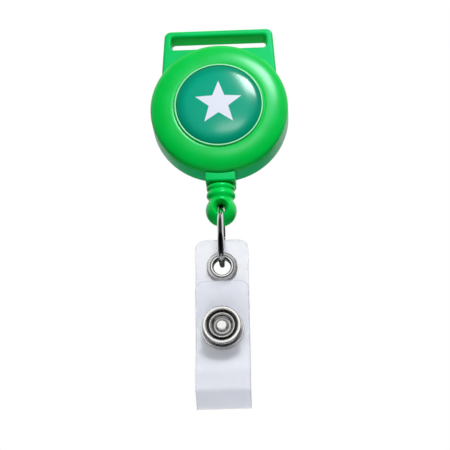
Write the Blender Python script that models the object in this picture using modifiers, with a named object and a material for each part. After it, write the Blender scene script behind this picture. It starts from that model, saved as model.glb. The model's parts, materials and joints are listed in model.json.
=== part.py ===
"""Retractable badge reel: a sprung cord reel in a round case, with a strap hanging on its cord.

The reel hangs from the lanyard slot, which holds the origin: the middle of the slot's ceiling.
+X is to the right, +Z is up and the front faces -Y.  Dimensions are in millimetres, and the
helpers turn them into metres.  "Depth" is the distance in front of the cord's plane (y = 0),
so a piece turned round a front-to-back axis has its local Z towards the front.
"""

import math

import bmesh
import bpy
from mathutils import Matrix, Vector

MM = 0.001
GAP = 0.3                    # clearance between pieces that touch on the real reel
MERGE = 0.000001             # metres

# --- Case ---------------------------------------------------------------------------------
CASE_RADIUS = 16.0
CASE_BACK = -3.9             # depth of the flat back
DOME_BASE = 2.75             # depth at which the cover's dome starts to curve in
DOME_TOP = 4.72
SEAM = 1.9                   # depth of the back case's rim
WALL = 1.2
BACK_WALL = 1.5
SLOT_TOP = 19.34             # above the case's centre
SLOT_FLOOR = 16.12
SLOT_HALF = 11.19
SLOT_CORNER = 0.8
CASE_Z = -SLOT_TOP           # height of the case's centre
PLATE_TOP = 21.04            # above the case's centre
PLATE_FRONT = 1.15
PLATE_HALF_TOP = 12.75
PLATE_HALF_FOOT = 13.87
PLATE_FOOT = 4.0             # the plate's lower edge, inside the round case
PLATE_CORNER = 1.6
PLATE_EDGE = 0.45
BLOCK_HALF = 3.44
BLOCK_BOTTOM = -18.08        # below the case's centre
BLOCK_FRONT = 3.17
BLOCK_EDGE = 0.45
EXIT_RADIUS = 0.85
LIP_RADIUS = 10.25
LIP_TOP = 5.13
LABEL_FLOOR = 4.0
LABEL_RADIUS = 9.5
LABEL_THICKNESS = 0.15
RESIN_RADIUS = 9.45
RESIN_EDGE = 5.1
RESIN_TOP = 5.95

# --- Reel ---------------------------------------------------------------------------------
BOSS_RADIUS = 3.2
BOSS_FRONT = -0.85
PIN_RADIUS = 1.3
PIN_FRONT = 2.2
PIN_SLOT = 0.8
SPOOL_RADIUS = 13.7
SPOOL_HALF = 1.77
FLANGE = 0.6
DRUM_RADIUS = 8.8
DRUM_BORE = 8.0
WINDING_RADIUS = 12.4
CORD_RADIUS = 0.4
CORD_TURN = WINDING_RADIUS - CORD_RADIUS
CORD_BEND = -15.6            # where the cord turns down into the exit, below the case's centre
SPRING_STRIP = 0.2
SPRING_INNER = 1.95
SPRING_OUTER = 7.3
SPRING_TURNS = 8.5
SPRING_BACK = BOSS_FRONT + GAP
RETAINER_BACK = 1.75
RETAINER_FRONT = 2.15

# --- Bead and ring ------------------------------------------------------------------------
BALL_RADIUS = 3.56
BALL_Z = CASE_Z - 24.45
BEAD_TOP = BLOCK_BOTTOM - GAP + 24.45   # above the ball's centre
EYE_THROAT = 1.35
EYE_MOUTH = 1.95
WIRE_RADIUS = 0.7
RING_RADIUS = 6.145
RING_DROP = -EYE_THROAT + GAP + WIRE_RADIUS - RING_RADIUS   # from ball centre to ring centre
RING_BUTT = 0.4              # gap between the wire's ends
KNOT_RADIUS = 0.8
KNOT_RISE = 1.9              # above the ball's centre

# --- Strap: heights are measured from the ring's lowest wire centre -----------------------
STRAP_HALF = 6.02
STRAP_THICKNESS = 0.5
STRAP_TOP = 5.59
STRAP_CORNER = 2.2
EYELET_BORE = 1.95
EYELET_Z = WIRE_RADIUS + GAP - EYELET_BORE
EYELET_RADIUS = 3.5
FOLD_Z = -33.8               # hinge line of the fold
FLAP_DEPTH = 1.8             # middle of the flap, in front of the strap's middle
FLAP_TOP = -4.65
FLAP_STRAIGHT = -20.3        # below this the flap leans forward, round the badge's loop
LOOP_DEPTH = 4.95
LOOP_TOP = -26.2
CREASE_Z = -30.5
SNAP_Z = -16.05
SNAP_FRONT = 5.85
STUD_HOLE = 0.9
FLAP_HOLE = 3.0

COARSE = 24
FINE = 48

GREEN = (0.0, 0.42, 0.07)
TEAL = (0.0, 0.35, 0.22)
BLACK = (0.012, 0.012, 0.013)
NICKEL = (0.66, 0.65, 0.63)
VINYL = (0.78, 0.79, 0.85)
NATURAL = (0.72, 0.72, 0.68)


def remove_scene_objects():
    for obj in list(bpy.data.objects):
        bpy.data.objects.remove(obj, do_unlink=True)


def new_collection(name):
    collection = bpy.data.collections.new(name)
    bpy.context.scene.collection.children.link(collection)
    return collection


remove_scene_objects()
PARTS = new_collection("badge_reel")
CUTTERS = new_collection("cutters")


# --- Helpers ------------------------------------------------------------------------------
def material(name, colour, roughness, metallic=0.0):
    mat = bpy.data.materials.new(name)
    mat.use_nodes = True
    shader = mat.node_tree.nodes["Principled BSDF"]
    shader.inputs["Base Color"].default_value = (*colour, 1.0)
    shader.inputs["Roughness"].default_value = roughness
    shader.inputs["Metallic"].default_value = metallic
    return mat


def place(obj, parent, location, collection, to_front):
    """Put an object at a place in millimetres under its parent, with Z up or to the front."""
    obj.location = Vector(location) * MM
    if to_front:
        obj.rotation_euler = (math.pi / 2, 0, 0)
    obj.parent = parent
    collection.objects.link(obj)
    return obj


def empty(name, parent, location):
    """The frame of a moving body, with its origin on the joint's axis."""
    obj = bpy.data.objects.new(name, None)
    obj.empty_display_size = 5 * MM
    return place(obj, parent, location, PARTS, to_front=False)


def turned(name, profile, steps, parent=None, location=(0, 0, 0), to_front=True, cutter=False):
    """Turn (radius, height) points round local Z; the outer side of the profile runs down."""
    mesh = bpy.data.meshes.new(name)
    edges = [(i, i + 1) for i in range(len(profile) - 1)]
    if profile[0][0] > 0:
        edges.append((len(profile) - 1, 0))
    mesh.from_pydata([(r * MM, 0, h * MM) for r, h in profile], edges, [])
    obj = bpy.data.objects.new(name, mesh)
    screw = obj.modifiers.new("turn", "SCREW")
    screw.axis = "Z"
    screw.steps = steps
    screw.render_steps = steps
    screw.use_merge_vertices = True
    screw.merge_threshold = MERGE
    return place(obj, parent, location, CUTTERS if cutter else PARTS, to_front)


def as_mesh(curve_object, name):
    """The curve object's evaluated shape as a mesh object with its caps welded on."""
    bpy.context.view_layer.update()
    graph = bpy.context.evaluated_depsgraph_get()
    mesh = bpy.data.meshes.new_from_object(curve_object.evaluated_get(graph))
    shape = bmesh.new()
    shape.from_mesh(mesh)
    bmesh.ops.remove_doubles(shape, verts=shape.verts, dist=MERGE)
    shape.to_mesh(mesh)
    shape.free()
    bpy.data.objects.remove(curve_object)
    return bpy.data.objects.new(name, mesh)


def poly_curve(outlines, dimensions, cyclic):
    """An unlinked curve datablock with one POLY spline for each list of points."""
    curve = bpy.data.curves.new("outline", "CURVE")
    curve.dimensions = dimensions
    for outline in outlines:
        spline = curve.splines.new("POLY")
        spline.points.add(len(outline) - 1)
        for point, place_mm in zip(spline.points, outline):
            x, y, z = (*place_mm, 0.0)[:3]
            point.co = (x * MM, y * MM, z * MM, 1.0)
        spline.use_cyclic_u = cyclic
    return curve


def curve_as_mesh(curve, name):
    obj = bpy.data.objects.new(name + "_curve", curve)
    PARTS.objects.link(obj)
    return as_mesh(obj, name)


def plate(name, outlines, back, front, parent=None, location=(0, 0, 0), cutter=False):
    """A flat sheet between two depths; outlines after the first are holes in it."""
    curve = poly_curve(outlines, "2D", cyclic=True)
    curve.fill_mode = "BOTH"
    curve.extrude = (front - back) / 2 * MM
    obj = curve_as_mesh(curve, name)
    obj.data.transform(Matrix.Translation((0, 0, (front + back) / 2 * MM)))
    return place(obj, parent, location, CUTTERS if cutter else PARTS, to_front=True)


def wire(name, points, radius, parent=None, location=(0, 0, 0)):
    """A round wire or cord along a list of points."""
    curve = poly_curve([points], "3D", cyclic=False)
    curve.bevel_depth = radius * MM
    curve.bevel_resolution = 2
    curve.use_fill_caps = True
    obj = curve_as_mesh(curve, name)
    return place(obj, parent, location, PARTS, to_front=False)


def boolean(obj, other, operation):
    """Cut or join with another object, which stays behind as a hidden guide."""
    modifier = obj.modifiers.new(operation.lower(), "BOOLEAN")
    modifier.operation = operation
    modifier.solver = "EXACT"
    modifier.object = other
    other.hide_render = True
    other.display_type = "WIRE"


def bevel(obj, width, segments=2):
    modifier = obj.modifiers.new("edges", "BEVEL")
    modifier.width = width * MM
    modifier.segments = segments
    modifier.limit_method = "ANGLE"
    modifier.angle_limit = math.radians(40)


def arc(centre, radius, start, end, count):
    """Points on an arc, with angles in degrees anticlockwise from the first axis."""
    angles = [math.radians(start + (end - start) * i / count) for i in range(count + 1)]
    return [(centre[0] + radius * math.cos(a), centre[1] + radius * math.sin(a)) for a in angles]


def circle(centre, radius, count=32):
    return arc(centre, radius, 0, 360, count)[:-1]


def rounded(corners, steps=5):
    """An outline or path through (x, y, radius) corners, each one rounded by its radius."""
    points = []
    for index, (x, y, radius) in enumerate(corners):
        here = Vector((x, y))
        if radius == 0:
            points.append((x, y))
            continue
        before = (Vector(corners[index - 1][:2]) - here).normalized()
        after = (Vector(corners[(index + 1) % len(corners)][:2]) - here).normalized()
        half = before.angle(after) / 2
        centre = here + (before + after).normalized() * (radius / math.sin(half))
        start = here + before * (radius / math.tan(half)) - centre
        sweep = start.angle_signed(here + after * (radius / math.tan(half)) - centre)
        for step in range(steps + 1):
            turn = Matrix.Rotation(-sweep * step / steps, 2)
            points.append(tuple(centre + turn @ start))
    return points


def finish(obj, name, colour, roughness, metallic=0.0):
    obj.name = name
    obj.data.materials.clear()
    obj.data.materials.append(material(name, colour, roughness, metallic))
    obj.data.shade_smooth()
    obj.data.set_sharp_from_angle(angle=math.radians(35))
    return obj


# --- Case ---------------------------------------------------------------------------------
def back_case():
    """Back shell in one moulding: side wall, lanyard plate, cord exit block and spool boss."""
    centre = (0, 0, CASE_Z)
    body = turned("back_case", [
        (0, SEAM), (CASE_RADIUS, SEAM), (CASE_RADIUS, CASE_BACK + 0.3),
        (CASE_RADIUS - 0.3, CASE_BACK), (0, CASE_BACK)], FINE, location=centre)
    lanyard_plate = plate("lanyard_plate", [rounded([
        (-PLATE_HALF_FOOT, PLATE_FOOT, 0), (PLATE_HALF_FOOT, PLATE_FOOT, 0),
        (PLATE_HALF_TOP, PLATE_TOP, PLATE_CORNER),
        (-PLATE_HALF_TOP, PLATE_TOP, PLATE_CORNER)])],
        CASE_BACK, PLATE_FRONT, location=centre, cutter=True)
    bevel(lanyard_plate, PLATE_EDGE)
    block = plate("exit_block", [rounded([
        (-BLOCK_HALF, -14, 0), (-BLOCK_HALF, BLOCK_BOTTOM, BLOCK_EDGE),
        (BLOCK_HALF, BLOCK_BOTTOM, BLOCK_EDGE), (BLOCK_HALF, -14, 0)])],
        CASE_BACK + 0.02, BLOCK_FRONT, location=centre, cutter=True)
    bevel(block, BLOCK_EDGE / 2)
    cover_room = turned("cover_room", [
        (0, 6), (CASE_RADIUS + GAP, 6), (CASE_RADIUS + GAP, SEAM), (0, SEAM)],
        FINE, location=centre, cutter=True)
    floor = CASE_BACK + BACK_WALL
    bore = PIN_RADIUS + GAP
    cavity = turned("cavity", [
        (0, 5), (CASE_RADIUS - WALL, 5), (CASE_RADIUS - WALL, floor), (BOSS_RADIUS, floor),
        (BOSS_RADIUS, BOSS_FRONT), (bore, BOSS_FRONT), (bore, floor - GAP), (0, floor - GAP)],
        FINE, location=centre, cutter=True)
    slot = plate("slot", [rounded([
        (-SLOT_HALF, SLOT_FLOOR, SLOT_CORNER), (SLOT_HALF, SLOT_FLOOR, SLOT_CORNER),
        (SLOT_HALF, SLOT_TOP, SLOT_CORNER), (-SLOT_HALF, SLOT_TOP, SLOT_CORNER)])],
        CASE_BACK - 1, SEAM + 1, location=centre, cutter=True)
    funnel = plate("exit_funnel", [[
        (-2.8, -13.5), (-EXIT_RADIUS, -16.2), (EXIT_RADIUS, -16.2), (2.8, -13.5)]],
        -EXIT_RADIUS, EXIT_RADIUS, location=centre, cutter=True)
    exit_bore = turned("exit_bore", [
        (0, -15.8), (EXIT_RADIUS, -15.8), (EXIT_RADIUS, -17.6), (EXIT_RADIUS + 0.3, -19),
        (0, -19)], 24, location=centre, to_front=False, cutter=True)
    for other in (lanyard_plate, block):
        boolean(body, other, "UNION")
    for other in (cover_room, cavity, slot, funnel, exit_bore):
        boolean(body, other, "DIFFERENCE")
    return finish(body, "back_case", GREEN, 0.3)


def front_cover():
    """Domed front shell with the raised lip round the label, and a spigot inside the case."""
    reach = CASE_RADIUS - LIP_RADIUS - 0.5
    dome = [(LIP_RADIUS + 0.5 + reach * math.sin(math.radians(a)),
             DOME_BASE + (DOME_TOP - DOME_BASE) * math.cos(math.radians(a)))
            for a in range(0, 91, 15)]
    lip = [(LIP_RADIUS - 0.45, LABEL_FLOOR), (LIP_RADIUS - 0.4, LIP_TOP - 0.2),
           (LIP_RADIUS - 0.2, LIP_TOP), (LIP_RADIUS + 0.1, LIP_TOP),
           (LIP_RADIUS + 0.3, LIP_TOP - 0.2)]
    inside = [(CASE_RADIUS, SEAM + GAP), (14.5, SEAM + GAP), (14.5, 1.0), (14.1, 1.0),
              (14.1, 2.5), (12.5, 2.95), (9.5, 3.1), (2.9, 3.1), (2.9, RETAINER_FRONT + GAP),
              (1.9, RETAINER_FRONT + GAP), (1.9, 3.1), (0, 3.1)]
    cover = turned("front_cover", [(0, LABEL_FLOOR), *lip, *dome, *inside], FINE,
                   location=(0, 0, CASE_Z))
    return finish(cover, "front_cover", GREEN, 0.3)


def label():
    base = LABEL_FLOOR + GAP
    disc = turned("label_disc", [
        (0, base + LABEL_THICKNESS), (LABEL_RADIUS, base + LABEL_THICKNESS),
        (LABEL_RADIUS, base), (0, base)], FINE, location=(0, 0, CASE_Z))
    finish(disc, "label_disc", TEAL, 0.4)
    resin_base = base + LABEL_THICKNESS + GAP
    crown = [(RESIN_RADIUS * math.sin(math.radians(a)),
              RESIN_EDGE + (RESIN_TOP - RESIN_EDGE) * math.cos(math.radians(a)))
             for a in range(0, 91, 15)]
    resin = turned("resin_dome", [*crown, (RESIN_RADIUS, resin_base), (0, resin_base)],
                   FINE, location=(0, 0, CASE_Z))
    finish(resin, "resin_dome", TEAL, 0.05)


# --- Reel ---------------------------------------------------------------------------------
def centre_pin():
    """Steel pin in the case's boss, slotted at the front for the spring's inner end."""
    back = CASE_BACK + BACK_WALL
    pin = turned("centre_pin", [
        (0, PIN_FRONT), (PIN_RADIUS - 0.2, PIN_FRONT), (PIN_RADIUS, PIN_FRONT - 0.2),
        (PIN_RADIUS, back), (0, back)], 24, location=(0, 0, CASE_Z))
    reach = 2 * PIN_RADIUS
    slot = plate("pin_slot", [[
        (-reach, -PIN_SLOT / 2), (reach, -PIN_SLOT / 2), (reach, PIN_SLOT / 2),
        (-reach, PIN_SLOT / 2)]], SPRING_BACK - GAP / 2, PIN_FRONT + 1,
        location=(0, 0, CASE_Z), cutter=True)
    boolean(pin, slot, "DIFFERENCE")
    finish(pin, "centre_pin", NICKEL, 0.3, 1.0)


def spool(frame):
    """Flanged drum: the cord lies between the flanges, the power spring inside the drum."""
    channel = SPOOL_HALF - FLANGE
    bore = BOSS_RADIUS + GAP
    drum = turned("spool", [
        (DRUM_BORE, SPOOL_HALF), (SPOOL_RADIUS, SPOOL_HALF), (SPOOL_RADIUS, channel),
        (DRUM_RADIUS, channel), (DRUM_RADIUS, -channel), (SPOOL_RADIUS, -channel),
        (SPOOL_RADIUS, -SPOOL_HALF), (bore, -SPOOL_HALF), (bore, -channel),
        (DRUM_BORE, -channel)], 36, parent=frame)
    finish(drum, "spool", NATURAL, 0.5)
    half = channel - GAP
    inner = DRUM_RADIUS + GAP
    winding = turned("cord_winding", [
        (inner, half), (WINDING_RADIUS - 0.3, half), (WINDING_RADIUS, half - 0.3),
        (WINDING_RADIUS, 0.3 - half), (WINDING_RADIUS - 0.3, -half), (inner, -half)],
        36, parent=frame)
    finish(winding, "cord_winding", BLACK, 0.7)


def power_spring():
    """Flat spiral spring on edge: its inner end crosses the pin's slot, its outer end is free."""
    tang = [(-0.9, 0.0), (1.1, 0.0), (1.55, 0.1), (1.8, 0.35)]
    steps = round(SPRING_TURNS * 16)
    spiral = []
    for step in range(1, steps + 1):
        angle = math.radians(18) + math.tau * SPRING_TURNS * step / steps
        radius = SPRING_INNER + (SPRING_OUTER - SPRING_INNER) * step / steps
        spiral.append((radius * math.cos(angle), radius * math.sin(angle)))
    curve = poly_curve([tang + spiral], "2D", cyclic=False)
    curve.fill_mode = "NONE"
    front = RETAINER_BACK - GAP
    curve.extrude = (front - SPRING_BACK) / 2 * MM
    strip = curve_as_mesh(curve, "power_spring")
    strip.data.transform(Matrix.Translation((0, 0, (front + SPRING_BACK) / 2 * MM)))
    place(strip, None, (0, 0, CASE_Z), PARTS, to_front=True)
    sheet = strip.modifiers.new("strip", "SOLIDIFY")
    sheet.thickness = SPRING_STRIP * MM
    sheet.offset = 0.0
    finish(strip, "power_spring", NICKEL, 0.35, 1.0)


def spring_retainer():
    disc = turned("spring_retainer", [
        (PIN_RADIUS + GAP, RETAINER_FRONT), (7.6, RETAINER_FRONT), (7.6, RETAINER_BACK),
        (PIN_RADIUS + GAP, RETAINER_BACK)], COARSE, location=(0, 0, CASE_Z))
    finish(disc, "spring_retainer", NATURAL, 0.5)


def cord_run():
    """Cord from the winding to the exit: straight off the winding's side, then down."""
    lean = math.acos(CORD_TURN / -CORD_BEND)
    leave = Vector((CORD_TURN * math.sin(lean), -CORD_TURN * math.cos(lean)))
    bend = Vector((0.0, CORD_BEND))
    towards = (bend - leave).normalized()
    clear = WINDING_RADIUS + GAP + CORD_RADIUS
    first = leave + towards * math.sqrt(clear ** 2 - CORD_TURN ** 2)
    corners = [(*first, 0), (*bend, 1.2), (0.0, BLOCK_BOTTOM + GAP, 0)]
    points = [(x, 0.0, z) for x, z in rounded(corners)]
    run = wire("cord_run", points, CORD_RADIUS, location=(0, 0, CASE_Z))
    finish(run, "cord_run", BLACK, 0.7)


# --- Cord end, bead and ring --------------------------------------------------------------
def cord_end(frame):
    """The cord from the exit into the bead, and the knot that keeps it there."""
    tail_end = KNOT_RISE + KNOT_RADIUS + GAP
    tail = wire("cord_tail", [(0, 0, BEAD_TOP + GAP), (0, 0, tail_end)], CORD_RADIUS,
                parent=frame, location=(0, 0, 0))
    finish(tail, "cord_tail", BLACK, 0.7)
    ball = arc((0, 0), KNOT_RADIUS, 90, -90, 8)
    knot = turned("cord_knot", [(max(r, 0.0) if 0 < i < 8 else 0.0, h)
                                for i, (r, h) in enumerate(ball)],
                  12, parent=frame, location=(0, 0, KNOT_RISE), to_front=False)
    finish(knot, "cord_knot", BLACK, 0.7)


def bead(frame):
    """Stopper bead: a two-ribbed neck and a ball with a funnel-mouthed eye through it."""
    neck = [(2.6, BEAD_TOP), (3.1, BEAD_TOP - 0.12), (3.33, BEAD_TOP - 0.55),
            (3.25, BEAD_TOP - 1.0), (3.0, BEAD_TOP - 1.5), (3.25, BEAD_TOP - 2.0),
            (3.33, BEAD_TOP - 2.5), (3.2, BEAD_TOP - 2.95), (2.8, BEAD_TOP - 3.45)]
    ball = arc((0, 0), BALL_RADIUS, 36, -90, 9)[:-1]
    body = turned("bead", [(0, BEAD_TOP), *neck, *ball, (0, -BALL_RADIUS)], COARSE,
                  parent=frame, to_front=False)
    flare = BALL_RADIUS + 0.5
    eye = turned("eye", [
        (0, flare), (EYE_MOUTH + 0.5, flare), (EYE_MOUTH, BALL_RADIUS - 0.6),
        (EYE_THROAT + 0.15, 1.7), (EYE_THROAT, 0.8), (EYE_THROAT, -0.8),
        (EYE_THROAT + 0.15, -1.7), (EYE_MOUTH, 0.6 - BALL_RADIUS), (EYE_MOUTH + 0.5, -flare),
        (0, -flare)], 24, parent=frame, cutter=True)
    bore = turned("cord_bore", [
        (0, 8), (CORD_RADIUS + GAP + 0.05, 8), (CORD_RADIUS + GAP + 0.05, KNOT_RISE + 0.9),
        (KNOT_RADIUS + GAP + 0.05, KNOT_RISE + 0.5), (KNOT_RADIUS + GAP + 0.05, 0.9), (0, 0.9)],
        16, parent=frame, to_front=False, cutter=True)
    boolean(body, eye, "DIFFERENCE")
    boolean(body, bore, "DIFFERENCE")
    finish(body, "bead", GREEN, 0.35)


def ring(frame):
    """Jump ring of round wire in the plane across the strap; its ends meet at the back."""
    half_butt = math.degrees(RING_BUTT / 2 / RING_RADIUS)
    points = [(0, y, z) for y, z in arc((0, 0), RING_RADIUS, 20 + half_butt,
                                        380 - half_butt, 44)]
    loop = wire("ring", points, WIRE_RADIUS, parent=frame)
    finish(loop, "ring", NICKEL, 0.12, 1.0)


# --- Strap --------------------------------------------------------------------------------
def strap_back(frame):
    half = STRAP_THICKNESS / 2
    foot = FOLD_Z + half + GAP
    sheet = plate("strap_back", [
        rounded([(-STRAP_HALF, foot, 0), (STRAP_HALF, foot, 0),
                 (STRAP_HALF, STRAP_TOP, STRAP_CORNER), (-STRAP_HALF, STRAP_TOP, STRAP_CORNER)]),
        circle((0, EYELET_Z), EYELET_BORE + 0.65), circle((0, SNAP_Z), STUD_HOLE, 20)],
        -half, half, parent=frame)
    finish(sheet, "strap_back", VINYL, 0.4)


def strap_flap(frame):
    """Front layer: forward from the fold, up round the badge's loop, flat behind the snap."""
    path = rounded([(0, 0, 0), (LOOP_DEPTH, CREASE_Z - FOLD_Z, 1.0),
                    (LOOP_DEPTH, LOOP_TOP - FOLD_Z, 2.5),
                    (FLAP_DEPTH, FLAP_STRAIGHT - FOLD_Z, 4.0),
                    (FLAP_DEPTH, FLAP_TOP - FOLD_Z, 0)])
    curve = poly_curve([path], "2D", cyclic=False)
    curve.fill_mode = "NONE"
    curve.extrude = STRAP_HALF * MM
    strip = curve_as_mesh(curve, "strap_flap")
    across = Matrix(((0, 0, 1, 0), (0, 1, 0, 0), (1, 0, 0, 0), (0, 0, 0, 1)))
    strip.data.transform(across)
    strip.data.flip_normals()
    place(strip, frame, (0, 0, 0), PARTS, to_front=True)
    sheet = strip.modifiers.new("sheet", "SOLIDIFY")
    sheet.thickness = STRAP_THICKNESS * MM
    sheet.offset = 0.0
    top = FLAP_TOP - FOLD_Z
    wide = STRAP_HALF + 1
    outline = plate("flap_outline", [rounded([
        (-wide, -4, 0), (wide, -4, 0), (wide, top - STRAP_CORNER, 0),
        (STRAP_HALF, top - STRAP_CORNER, 0),
        *[(x, z, 0) for x, z in arc((STRAP_HALF - STRAP_CORNER, top - STRAP_CORNER),
                                    STRAP_CORNER, 10, 80, 5)],
        *[(x, z, 0) for x, z in arc((STRAP_CORNER - STRAP_HALF, top - STRAP_CORNER),
                                    STRAP_CORNER, 100, 170, 5)],
        (-STRAP_HALF, top - STRAP_CORNER, 0), (-wide, top - STRAP_CORNER, 0)])],
        -5, 10, parent=frame, cutter=True)
    hole = turned("flap_hole", [(0, 4), (FLAP_HOLE, 4), (FLAP_HOLE, 0.5), (0, 0.5)], COARSE,
                  parent=frame, location=(0, 0, SNAP_Z - FOLD_Z), cutter=True)
    boolean(strip, outline, "INTERSECT")
    boolean(strip, hole, "DIFFERENCE")
    finish(strip, "strap_flap", VINYL, 0.4)


def strap_eyelet(frame):
    """Rolled eyelet through the strap, and its washer behind it."""
    face = STRAP_THICKNESS / 2
    barrel = EYELET_BORE + 0.35
    eyelet = turned("strap_eyelet", [
        (EYELET_BORE, 0.2), (EYELET_BORE + 0.15, face + GAP + 0.25), (2.45, face + GAP + 0.45),
        (2.9, face + GAP + 0.5), (EYELET_RADIUS - 0.1, face + GAP + 0.3),
        (EYELET_RADIUS, face + GAP + 0.1), (EYELET_RADIUS - 0.1, face + GAP),
        (barrel, face + GAP), (barrel, -0.85), (EYELET_BORE, -0.95)], COARSE,
        parent=frame, location=(0, 0, EYELET_Z))
    finish(eyelet, "strap_eyelet", NICKEL, 0.2, 1.0)
    back = -face - GAP
    washer = turned("eyelet_washer", [
        (barrel + GAP, back), (EYELET_RADIUS, back), (EYELET_RADIUS, back - 0.15),
        (EYELET_RADIUS - 0.3, back - 0.3), (barrel + GAP, back - 0.3)], COARSE,
        parent=frame, location=(0, 0, EYELET_Z))
    finish(washer, "eyelet_washer", NICKEL, 0.25, 1.0)


def snap_stud(frame):
    """Male half of the snap on the strap's back layer, and the rivet that holds it."""
    base = STRAP_THICKNESS / 2 + GAP
    bore = 0.5 + GAP
    stud = turned("snap_stud", [
        (0, 3.6), (0.8, 3.55), (1.2, 3.35), (1.4, 3.0), (1.15, 2.6), (1.1, base + 0.5),
        (2.1, base + 0.35), (2.1, base), (bore, base), (bore, 2.3), (0, 2.3)], 24,
        parent=frame, location=(0, 0, SNAP_Z))
    finish(stud, "snap_stud", NICKEL, 0.2, 1.0)
    back = -base
    rivet = turned("snap_stud_rivet", [
        (0, 2.0), (0.5, 2.0), (0.5, back), (4.0, back), (4.2, back - 0.2),
        (3.6, back - 0.45), (0, back - 0.7)], 24, parent=frame, location=(0, 0, SNAP_Z))
    finish(rivet, "snap_stud_rivet", NICKEL, 0.2, 1.0)


def snap_socket(frame):
    """Female half on the flap: stacked body, gripping spring, pressed front and rivet ring."""
    place_on_flap = (0, 0, SNAP_Z - FOLD_Z)
    face = FLAP_DEPTH + STRAP_THICKNESS / 2
    base = face + GAP
    bore = 2.3
    body = turned("snap_socket", [
        (bore, base + 1.55), (3.9, base + 1.55), (4.15, base + 1.3), (4.5, base + 1.15),
        (4.6, base + 0.95), (4.5, base + 0.75), (4.3, base + 0.65), (4.7, base + 0.5),
        (4.8, base + 0.25), (4.7, base), (bore, base), (bore, base + 0.45),
        (bore + 0.75, base + 0.45), (bore + 0.75, base + 1.1), (bore, base + 1.1)],
        COARSE, parent=frame, location=place_on_flap)
    finish(body, "snap_socket", NICKEL, 0.15, 1.0)
    mid = base + 0.78
    radius = bore + 0.4
    loop = wire("snap_spring", [(x, -mid, z) for x, z in arc((0, 0), radius, 100, 440, 20)],
                0.12, parent=frame, location=place_on_flap)
    finish(loop, "snap_spring", NICKEL, 0.3, 1.0)
    front = SNAP_FRONT
    back = base + 1.55 + GAP
    cap = turned("snap_cap", [
        (0, front - 0.45), (0.9, front - 0.6), (1.25, front - 0.85), (1.7, front - 1.0),
        (2.15, front - 0.85), (2.4, front - 0.4), (2.6, front - 0.3), (2.8, front - 0.4),
        (3.0, front - 0.85), (3.45, front - 0.9), (3.65, front - 0.3), (3.85, front - 0.05),
        (4.05, front), (4.25, front - 0.15), (4.3, front - 0.45), (4.2, front - 0.8),
        (4.1, back), (0, back)], COARSE, parent=frame, location=place_on_flap)
    finish(cap, "snap_cap", NICKEL, 0.1, 1.0)
    rear = FLAP_DEPTH - STRAP_THICKNESS / 2 - GAP
    rivet = turned("snap_rivet_ring", [
        (2.45, face), (2.7, face), (2.7, rear), (3.8, rear), (3.8, rear - 0.3),
        (2.45, rear - 0.3)], COARSE, parent=frame, location=place_on_flap)
    finish(rivet, "snap_rivet_ring", NICKEL, 0.25, 1.0)


def build():
    back_case()
    front_cover()
    label()
    centre_pin()
    spool(empty("spool_spin", None, (0, 0, CASE_Z)))
    power_spring()
    spring_retainer()
    cord_run()
    cord_frame = empty("cord_pull", None, (0, 0, BALL_Z))
    cord_end(cord_frame)
    bead_frame = empty("bead_turn", cord_frame, (0, 0, 0))
    bead(bead_frame)
    ring_frame = empty("ring_turn", bead_frame, (0, 0, RING_DROP))
    ring(ring_frame)
    strap_frame = empty("strap_swing", ring_frame, (0, 0, -RING_RADIUS))
    strap_back(strap_frame)
    strap_eyelet(strap_frame)
    snap_stud(strap_frame)
    flap_frame = empty("flap_open", strap_frame, (0, 0, FOLD_Z))
    strap_flap(flap_frame)
    snap_socket(flap_frame)


build()
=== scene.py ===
"""Looks for the retractable badge reel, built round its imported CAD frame.

Lengths in this file are in millimetres unless a name says otherwise.  "Depth" is the distance
in front of the cord's plane (y = 0), and "height" is measured along +Z.
"""

import json
import math

import bmesh
import bpy
from mathutils import Matrix, Vector


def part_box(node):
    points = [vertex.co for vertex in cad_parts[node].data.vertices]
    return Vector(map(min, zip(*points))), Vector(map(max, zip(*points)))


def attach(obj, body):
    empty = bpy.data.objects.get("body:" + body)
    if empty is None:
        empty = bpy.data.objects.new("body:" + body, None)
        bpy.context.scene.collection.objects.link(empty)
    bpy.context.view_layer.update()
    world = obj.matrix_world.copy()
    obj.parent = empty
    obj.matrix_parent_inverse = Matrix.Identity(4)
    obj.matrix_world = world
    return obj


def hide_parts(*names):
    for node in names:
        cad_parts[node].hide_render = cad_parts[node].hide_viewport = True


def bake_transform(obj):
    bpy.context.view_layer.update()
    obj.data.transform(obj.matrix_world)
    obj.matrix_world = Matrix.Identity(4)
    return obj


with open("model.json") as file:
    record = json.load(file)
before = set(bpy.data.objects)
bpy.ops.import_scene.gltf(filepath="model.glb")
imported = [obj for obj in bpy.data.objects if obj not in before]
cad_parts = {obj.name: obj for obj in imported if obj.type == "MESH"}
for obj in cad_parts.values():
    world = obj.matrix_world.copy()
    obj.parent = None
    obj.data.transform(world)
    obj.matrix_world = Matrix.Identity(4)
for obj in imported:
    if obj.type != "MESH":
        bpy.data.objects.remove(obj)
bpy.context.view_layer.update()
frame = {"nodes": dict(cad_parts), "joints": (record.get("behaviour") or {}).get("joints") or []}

MM = 0.001
FRONT = "front"
UP = "up"
CASE_STEPS = 192        # round the case, the cover and the label


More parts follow.
